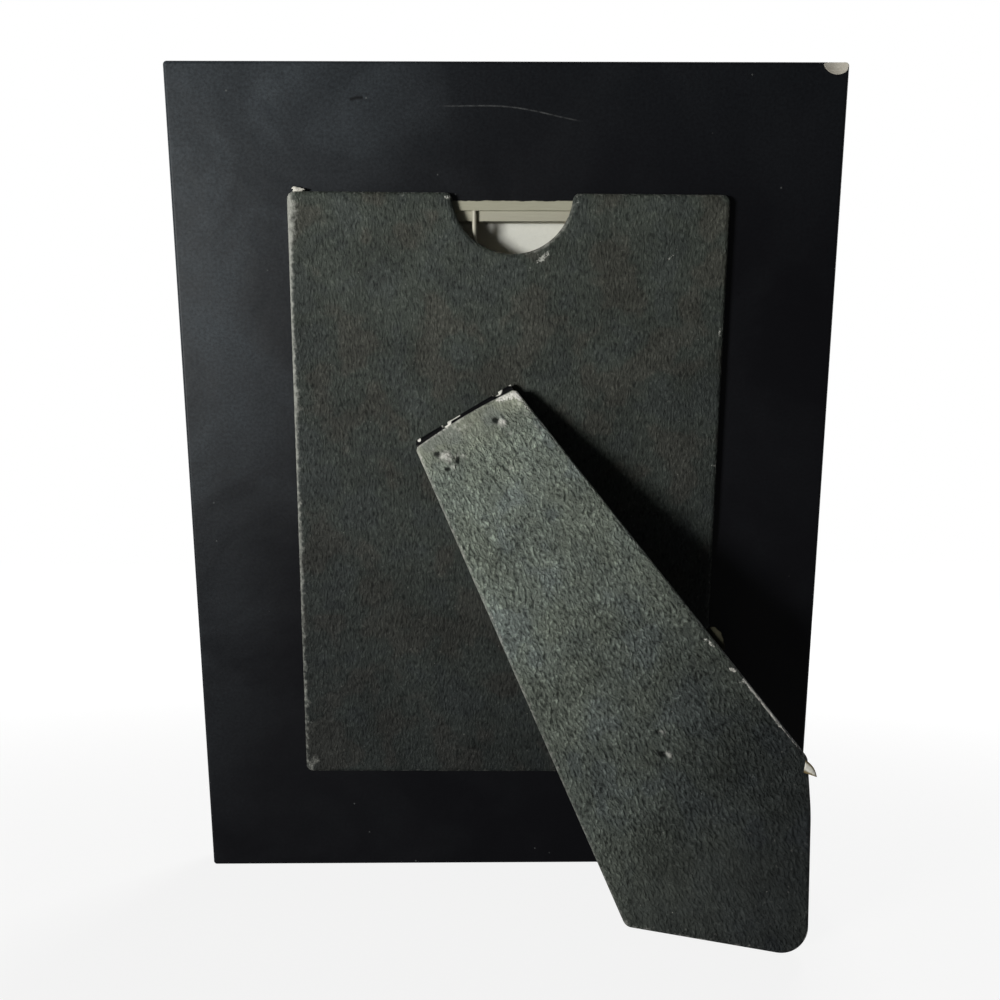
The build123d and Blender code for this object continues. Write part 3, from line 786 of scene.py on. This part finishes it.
# %% Wear, fading and painted light of the leg's paper
down, across = paper.T
pale = [
    (5.9, -9.5, 6.6, -8.9, 1.6, 1.50), (9.8, -8.9, 10.2, -8.6, 1.0, 0.90),
    (7.8, -5.6, 8.3, -5.0, 1.1, 0.75), (2.4, -11.6, 2.8, -11.2, 0.9, 0.60),
    (5.6, 8.0, 6.2, 8.5, 0.95, 1.70), (9.4, 9.0, 9.7, 9.0, 0.9, 0.55),
    (94.8, 4.7, 95.1, 4.8, 0.7, 1.15), (100.2, 3.2, 100.6, 3.3, 0.8, 1.35),
    (0.8, -3.4, 2.0, -1.0, 1.8, 0.55), (17.8, 4.2, 18.1, 4.6, 0.7, 0.6),
    (7.0, 14.6, 14.0, 15.6, 0.8, 0.55), (3.0, 13.6, 4.0, 14.6, 1.2, 0.6),
]
scuffed = [
    (-0.3, 10.6, 1.2, 15.0, 1.7, 0.90), (1.2, 15.3, 7.2, 16.0, 0.8, 0.65),
    (12.0, 15.9, 21.0, 17.4, 0.8, 0.45), (93.3, 28.5, 96.2, 28.9, 0.45, 1.15),
    (96.0, 28.9, 106.8, 30.3, 0.40, 1.45), (106.8, 30.3, 113.7, 31.5, 0.24, 0.95),
    (80.5, 25.3, 81.4, 25.8, 0.7, 0.75), (82.3, 25.9, 83.0, 26.2, 0.45, 0.70),
    (89.6, 27.0, 90.6, 27.7, 0.55, 1.15), (93.0, 27.0, 93.8, 27.6, 0.8, 0.5),
    (0.0, -15.2, 60.0, -20.0, 0.55, 0.50), (151.0, 11.2, 152.6, 9.4, 0.7, 0.75),
]
# The dents go in below zero, which the paper finish turns into painted shade.
leg_rub = marks(paper, dents + scuffed)
# Painted highlight as well as wear: the leg's left edge, which faces the light, is paler than its right, and
# both grow darker towards the foot.
edge_wear_and_highlight = np.clip(np.where(across < 0, 1.05, 0.60) - down / 260, 0.1, 1.1)
leg_edge = np.maximum(np.exp(-(gap**2)) * edge_wear_and_highlight, marks(place, pale))
# The leg's fade is highest at its top and gone at its foot: part fading, part painted shade of the light
# falling off towards the foot.
leg_fade = np.clip((150 - down - 0.7 * across) / 140, 0.0, 1.0)
leg_fade = leg_fade**2 * (3 - 2 * leg_fade)
leg_press = np.maximum(np.clip(1.2 - down / 9, 0.0, 1.0), np.clip((down - 112) / 22, 0.0, 0.75))
slant = 0.08
slanted = np.array([[np.cos(slant), -np.sin(slant)], [np.sin(slant), np.cos(slant)]])
leg_wrap = lay_mesh(
    "leg_wrap", on_leg(*place.T, height), faces, "easel_leg", leg_paper,
    paper=np.column_stack([paper[:, ::-1] @ slanted, height]),
    edge=leg_edge, rub=leg_rub, fade=leg_fade, press=leg_press)
thicken(leg_wrap, WRAP_THICKNESS)
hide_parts("leg_cover")

# %% [markdown]
# ## Card, lining and torn paper
#
# Under the wraps there is grey-brown pressed card, and the leg's underside is lined with plain tan paper.
# Both show short fibres, a broad stain and a few specks. Fine noise on a stretched place gives the fibres,
# and the same recipe in other tones makes the bare wood, the white card and the print. Frayed paper is
# pale in its middle and stained along its rim.

# %% Card and plain papers
def fibre_finish(name, low, high, speck, scale, depth=0.0002, roughness=0.85):
    """Fibrous sheet: fine stretched noise for the fibres, broad noise for the stain, and a few specks."""
    made, tree, shader = finish(name, Specular_IOR_Level=0.2)
    place = in_mm(tree)
    fibres = clouds(tree, stretch(tree, place, scale), 1.0, 4.0, 0.65, 0.4)
    stain = clouds(tree, place, 24.0, 3.0)
    colour = blend(tree, plus(tree, stain, 0.4, times(tree, fibres, 0.6)), low, high)
    flecks = use(tree, haze, Place=stretch(tree, place, (3.0, 3.0, 3.0)))["Specks"]
    colour = blend(tree, times(tree, flecks, 0.6), colour, speck)
    gloss = step(tree, fibres, 0.2, 0.8, roughness - 0.08, roughness + 0.08)
    coat(tree, shader, fibres, depth, Base_Color=colour, Roughness=gloss)
    return made


raw_wood = fibre_finish(
    "bare wood", (0.38, 0.365, 0.29, 1), (0.54, 0.53, 0.44, 1), (0.25, 0.20, 0.14, 1), (0.12, 1.6, 1.6))
chipboard = fibre_finish(
    "pressed card", (0.16, 0.13, 0.10, 1), (0.30, 0.255, 0.20, 1), (0.08, 0.06, 0.05, 1), (1.4, 2.2, 1.4))
buff_card = fibre_finish(
    "buff card", (0.46, 0.38, 0.27, 1), (0.64, 0.55, 0.42, 1), (0.30, 0.22, 0.15, 1), (1.2, 2.0, 1.2))
filler_card = fibre_finish(
    "white card", (0.68, 0.69, 0.64, 1), (0.84, 0.85, 0.80, 1), (0.50, 0.47, 0.40, 1),
    (0.9, 0.9, 0.9), depth=0.00005)
print_paper = fibre_finish(
    "blank print paper", (0.74, 0.74, 0.72, 1), (0.82, 0.82, 0.80, 1), (0.70, 0.69, 0.66, 1),
    (0.5, 0.5, 0.5), depth=0.00002, roughness=0.40)
lining_paper = fibre_finish(
    "tan lining paper", (0.27, 0.20, 0.125, 1), (0.42, 0.335, 0.225, 1), (0.15, 0.10, 0.06, 1),
    (1.0, 1.0, 0.5), depth=0.0001)
# Painted shade: the tab of lining behind the leg's right edge gets its tan paper painted near black, for the
# shadow of the leg's edge.
shaded_lining = fibre_finish(
    "shaded lining paper", (0.014, 0.014, 0.008, 1), (0.066, 0.062, 0.040, 1), (0.05, 0.04, 0.03, 1),
    (1.0, 1.0, 0.5), depth=0.0001)
torn_core = fibre_finish(
    "torn paper core", (0.62, 0.60, 0.52, 1), (0.88, 0.87, 0.81, 1), (0.40, 0.33, 0.22, 1),
    (2.0, 2.0, 2.0), depth=0.0003)

frayed_paper, tree, shader = finish("frayed paper", Specular_IOR_Level=0.2)
fibres = clouds(tree, in_mm(tree), 0.5, 3.0, 0.6)
rim = sums(tree, "ADD", painted(tree, "edge"), about_zero(tree, fibres, 0.5))
colour = blend(tree, step(tree, rim, 0.30, 0.85), (0.94, 0.92, 0.84, 1), (0.22, 0.16, 0.07, 1))
coat(tree, shader, fibres, 0.0001, Base_Color=colour, Roughness=step(tree, fibres, 0.2, 0.8, 0.75, 0.9))
print("card finishes:", [m.name for m in bpy.data.materials if "card" in m.name or "paper" in m.name])

# %% [markdown]
# ## Steel
#
# The staples are bright drawn wire and the brads dull wire, and fine noise moves the tone and the gloss of
# both. The rivets and nails are blackened, with bare metal showing where two noises meet. The hinge leaves
# and the pin are blackened too; at a few placed spots, measured about the pin, bare metal is painted as a
# pale glint, and one line along a knuckle is a painted highlight.

# %% Bright, dull and blackened steel
steel, tree, shader = finish("drawn steel wire", Metallic=1.0)
streaks = clouds(tree, stretch(tree, in_mm(tree), (3.0, 3.0, 3.0)), 1.0, 4.0, 0.7)
colour = blend(tree, streaks, (0.52, 0.50, 0.46, 1), (0.78, 0.76, 0.71, 1))
gloss = step(tree, streaks, 0.25, 0.75, 0.22, 0.42)
coat(tree, shader, streaks, 0.00004, Base_Color=colour, Roughness=gloss)

dull_wire, tree, shader = finish("dull brad wire", Metallic=0.25)
spots = clouds(tree, in_mm(tree), 0.7, 4.0, 0.6)
colour = blend(tree, spots, (0.40, 0.385, 0.31, 1), (0.62, 0.60, 0.51, 1))
coat(tree, shader, spots, 0.00005, Base_Color=colour, Roughness=step(tree, spots, 0.2, 0.8, 0.5, 0.7))

dark_steel, tree, shader = finish("blackened steel", Specular_IOR_Level=0.5)
place = in_mm(tree)
broad = step(tree, clouds(tree, place, 3.5, 3.0), 0.50, 0.70)
bright = times(tree, broad, step(tree, clouds(tree, place, 0.5, 3.0), 0.42, 0.62))
colour = blend(tree, bright, (0.018, 0.018, 0.019, 1), (0.46, 0.44, 0.40, 1))
gloss = step(tree, bright, 0.0, 1.0, 0.48, 0.30)
grit = clouds(tree, place, 0.8, 3.0)
coat(tree, shader, grit, 0.00006, Base_Color=colour, Roughness=gloss, Metallic=bright)
print("steel finishes:", steel.name, dull_wire.name, dark_steel.name)

# %% Hinge with painted glints
# Bare steel at the knuckle ends is painted pale and non-metallic so it shows as a bright glint, and a
# painted highlight line runs along the top of the middle knuckle.
GLINT_SPOTS = ((-1.5, -14.0, 0.5), (-1.9, -5.3, 1.5), (-2.5, 10.8, 1.7), (-2.4, 15.0, 1.0))
HIGHLIGHT_LINE = {"start": (-1.5, -4.6), "end": (-1.5, -0.6), "bow": 0.0, "width": 0.22}

hinge_steel, tree, shader = finish("hinge with painted glints", Specular_IOR_Level=0.12)
place = in_mm(tree, HINGE @ BACK, -HINGE @ (BACK @ FOOT + PIN))
flat = vectors(tree, "MULTIPLY", place, (1.0, 1.0, 0.0))
bright = stroke(tree, place, **HIGHLIGHT_LINE)
for down, across, radius in GLINT_SPOTS:
    off = vectors(tree, "DISTANCE", flat, (down, across, 0.0))
    bright = sums(tree, "MAXIMUM", bright, step(tree, off, 0.6 * radius, 1.3 * radius, 1.3, 0.0))
rubbed = step(tree, bright, 0.15, 0.85)
colour = blend(tree, rubbed, (0.004, 0.004, 0.005, 1), (0.93, 0.92, 0.86, 1))
gloss = step(tree, rubbed, 0.0, 1.0, 0.60, 0.45)
coat(tree, shader, clouds(tree, place, 0.8, 3.0), 0.00006, Base_Color=colour, Roughness=gloss)
print("hinge spots:", len(GLINT_SPOTS))

# %% [markdown]
# ## Glass
#
# The pane is plain float glass, a little green, with a faint film of touch. The film changes how sharp a
# reflection is, so it goes into the roughness, and the rest is set once on the shader.

# %% Glass pane
glass, tree, shader = finish("float glass", IOR=1.5, Transmission_Weight=1.0)
film = use(tree, haze, Place=in_mm(tree))["Haze"]
colour = blend(tree, film, (0.95, 0.985, 0.965, 1), (0.93, 0.965, 0.945, 1))
coat(tree, shader, Base_Color=colour, Roughness=step(tree, film, 0.0, 1.0, 0.01, 0.07))
print("glass ready")

# %% [markdown]
# ## Small torn places
#
# Three bits of paper have come away: a tab of the lining sticks out behind the leg's right edge, the corner
# of the elbow has frayed into a pointed curl, and a crumb of white core shows over the panel's top corner.
# Each is a small grid, bent by a formula, and the first two are thin as paper.

# %% Torn lining, out to a slanted uneven edge, curling back as the square of the way
ROWS, COLUMNS = 12, 25
s, t = np.meshgrid(np.linspace(0, 1, COLUMNS), np.linspace(0, 1, ROWS))
tear = np.interp(s, [0, 0.10, 0.40, 0.80, 1.0], [1.75, 2.55, 2.75, 1.65, 0.75]) + 0.08 * np.sin(23 * s)
down = 78.3 + 6.4 * s + 0.3 * t
across = 25.4 + 0.9 * s + t * (1.1 + tear)
curl = 1.9 - 0.35 * t**2 + 0.12 * np.sin(5 * s) * t
# The tab's dark finish is painted shade.
torn_lining = lay_mesh(
    "torn_lining", on_leg(down, across, curl).reshape(-1, 3), grid_faces(ROWS, COLUMNS)[:, ::-1],
    "easel_leg", shaded_lining)
thicken(torn_lining, 0.15)

# %% Frayed corner, a triangle from the elbow's edge to a point, cupped across and lifted on one side
root = np.stack([116.6 + 2.2 * t, 31.3 - 1.9 * t], -1)
tip = np.array([121.2, 31.5])
fray = root + (tip - root) * s[..., None] + np.stack([0 * s, 0.55 * np.sin(np.pi * s) * (1 - t)], -1)
lift = 4.45 + 0.45 * t - 0.3 * s + 0.35 * (1 - s) * np.sin(np.pi * t) + 0.05 * np.sin(31 * s + 9 * t)
frayed_corner = lay_mesh(
    "frayed_corner", on_leg(fray[..., 0], fray[..., 1], lift).reshape(-1, 3), grid_faces(ROWS, COLUMNS),
    "easel_leg", frayed_paper, edge=np.maximum(np.abs(2 * t - 1), s**3).ravel())
thicken(frayed_corner, 0.14)

# %% Torn core, a low lumpy bead whose radius wavers with both angles
RINGS, SPOKES = 15, 33
turn, rise = np.meshgrid(np.linspace(0, 2 * np.pi, SPOKES), np.linspace(-np.pi / 2, np.pi / 2, RINGS))
waver = 1 + 0.16 * np.sin(3 * turn + 1) * np.cos(rise) ** 2 + 0.10 * np.sin(7 * turn) * np.cos(rise) ** 3
crumb = behind(
    -54.9 + 1.65 * waver * np.cos(rise) * np.cos(turn),
    196.5 + 0.95 * waver * np.cos(rise) * np.sin(turn) + 0.25 * np.cos(turn + 2),
    1.7 + 0.7 * np.sin(rise))
lay_mesh("torn_core", crumb.reshape(-1, 3), grid_faces(RINGS, SPOKES), "back_panel", torn_core)

# %% [markdown]
# ## The stay ribbon
#
# A short ribbon stops the leg from opening too far: it is stapled to the panel and to the leg and runs taut
# between them. It is woven with ribs across its width. The run is its own piece, because it folds down flat
# when the leg closes, while each stapled tab stays with the board that it is stapled to.

# %% Ribbon finish
ribbon_finish, tree, shader = finish("ribbed ribbon", Specular_IOR_Level=0.3, Sheen_Weight=0.3)
weave = painted(tree, "paper", "Vector")
bands = {"Vector": weave, "Scale": 0.42, "Distortion": 0.6, "Detail": 2.0, "Detail Scale": 2.0}
ribs = wire(tree, "TexWave", bands, bands_direction="Y").outputs["Fac"]
yarn = clouds(tree, stretch(tree, weave, (6.0, 1.5, 1.0)), 1.0, 2.0)
shade = plus(tree, yarn, 0.4, times(tree, ribs, 0.6))
colour = blend(tree, shade, (0.012, 0.012, 0.013, 1), (0.055, 0.056, 0.058, 1))
coat(tree, shader, shade, 0.0002, Base_Color=colour, Roughness=step(tree, yarn, 0.2, 0.8, 0.7, 0.85))
print("ribbon finish ready")

# %% Ribbon run and its two tabs
HALF_RIBBON, RIBBON_ACROSS, RIBBON_THICKNESS = 5.0, 2.75, 0.25
SELVEDGE_CURL, TAB = 0.1, 9.0
LENGTHWISE, CROSSWISE = 61, 21


def strip(name, start, end, body, place_of):
    """Ribbon between two points of the pin's cross section (down, out).

    Its selvedges curl up as the sixth power of the way to the edge.
    """
    s, t = np.meshgrid(np.linspace(-HALF_RIBBON, HALF_RIBBON, CROSSWISE), np.linspace(0, 1, LENGTHWISE))
    down, out = [start[k] + (end[k] - start[k]) * t for k in (0, 1)]
    points = place_of(down, RIBBON_ACROSS + s, out + SELVEDGE_CURL * (s / HALF_RIBBON) ** 6)
    length = np.hypot(end[0] - start[0], end[1] - start[1])
    weave = np.stack([s, t * length, 0 * s], -1)
    faces = grid_faces(LENGTHWISE, CROSSWISE)
    made = lay_mesh(name, points.reshape(-1, 3), faces, body, ribbon_finish, paper=weave.reshape(-1, 3))
    made.modifiers.new("ribbon thickness", "SOLIDIFY").thickness = RIBBON_THICKNESS / MM
    return made


low, high, leg_end = (103.4, -1.65), (95.94, 38.60), (101.9, 1.65)
stay_run = strip("stay_run", low, high, "back_panel", on_panel)
panel_tab = strip("stay_tab_panel", low, (low[0] - TAB, low[1]), "back_panel", on_panel)
leg_tab = strip("stay_tab_leg", leg_end, (leg_end[0] - TAB, leg_end[1]), "easel_leg", on_leg)
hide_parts("stay_ribbon")
ends = [Vector(on_panel(p[0], RIBBON_ACROSS, p[1])) for p in (low, high)]
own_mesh(stay_run)
print("ribbon run", (ends[1] - ends[0]).length)

# %% [markdown]
# ## Dressing the carried-over pieces
#
# The remaining solids already have the right shape, so they keep it and only get their finish.

# %% Finishes of the solids
dress = {
    lacquer: ["rail_top", "rail_bottom", "rail_left", "rail_right"],
    steel: ["panel_staple", "leg_staple"],
    dull_wire: ["glazing_brads"],
    hinge_steel: ["hinge_panel_leaf", "hinge_leg_leaf", "hinge_pin"],
    dark_steel: ["panel_rivets", "leg_rivets", "corner_nails"],
    chipboard: ["panel_board", "leg_board"],
    buff_card: ["panel_plug"],
    filler_card: ["filler_board"],
    raw_wood: ["stop_strips"],
    print_paper: ["photo_print"],
    lining_paper: ["leg_lining"],
    glass: ["glass_pane"],
}
for material, names in dress.items():
    for name in names:
        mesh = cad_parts[name].data
        mesh.materials.clear()
        mesh.materials.append(material)
print("dressed:", sum(len(names) for names in dress.values()))

# %% [markdown]
# ## Size
#
# The box of the bare part and the box of the dressed one are printed side by side.

# %% Write both boxes and finish
seen_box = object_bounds()
for title, box in (("bare", cad_box), ("dressed", seen_box)):
    print(title, [tuple(round(x, 5) for x in c) for c in box])
